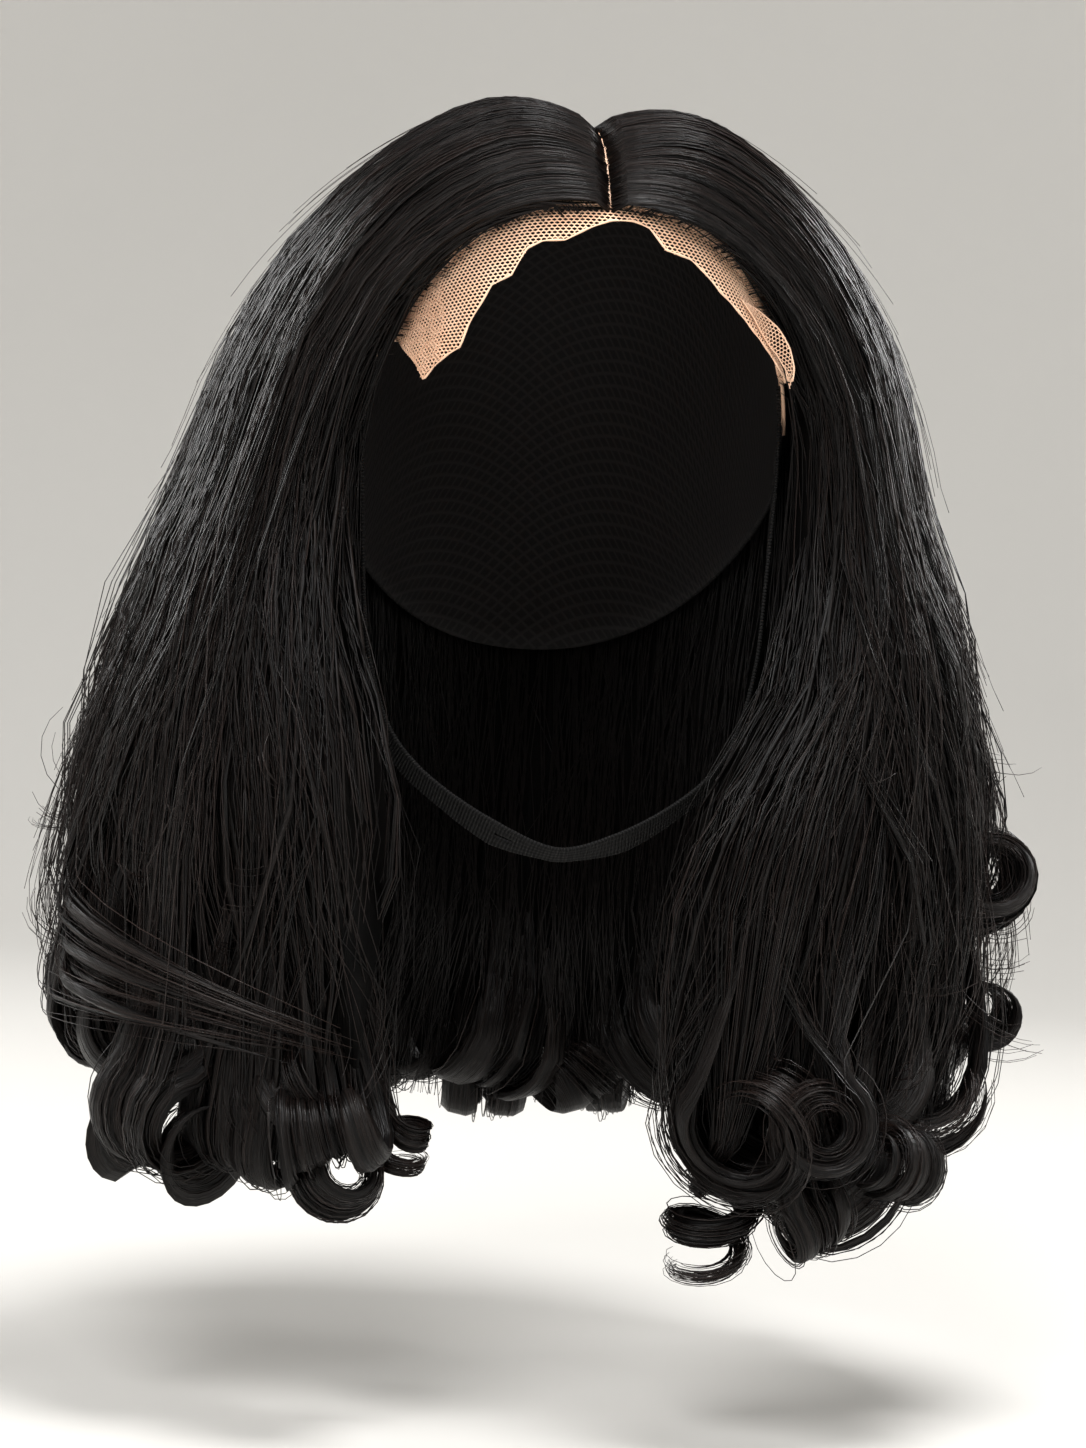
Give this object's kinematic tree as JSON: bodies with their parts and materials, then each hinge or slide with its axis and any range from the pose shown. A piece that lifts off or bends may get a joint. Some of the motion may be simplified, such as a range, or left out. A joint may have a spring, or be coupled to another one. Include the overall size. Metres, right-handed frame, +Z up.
{
  "type": "glueless wig",
  "caption": "Shoulder-length black lace-front wig with a centre parting, flipped and curled ends, a net cap and an elastic chin strap.",
  "frame": {"origin": "inside of the cap at its top, where it sits on the crown of the head", "axes": "+Z up, face opening toward -Y, +X toward the wearer's left, which is the right of the picture"},
  "size_m": [0.3206, 0.2375, 0.3596],
  "materials": {
    "net": "matte black knitted stretch net",
    "lace": "pinkish tan hexagonal net lace",
    "hair": "natural black hair with a soft sheen",
    "elastic": "matte black ribbed knitted elastic"
  },
  "bodies": {
    "root": {"cap": "net", "lace_front": "lace", "hair_left": "hair", "hair_right": "hair", "hair_back": "hair", "chin_strap": "elastic"}
  },
  "joints": []
}
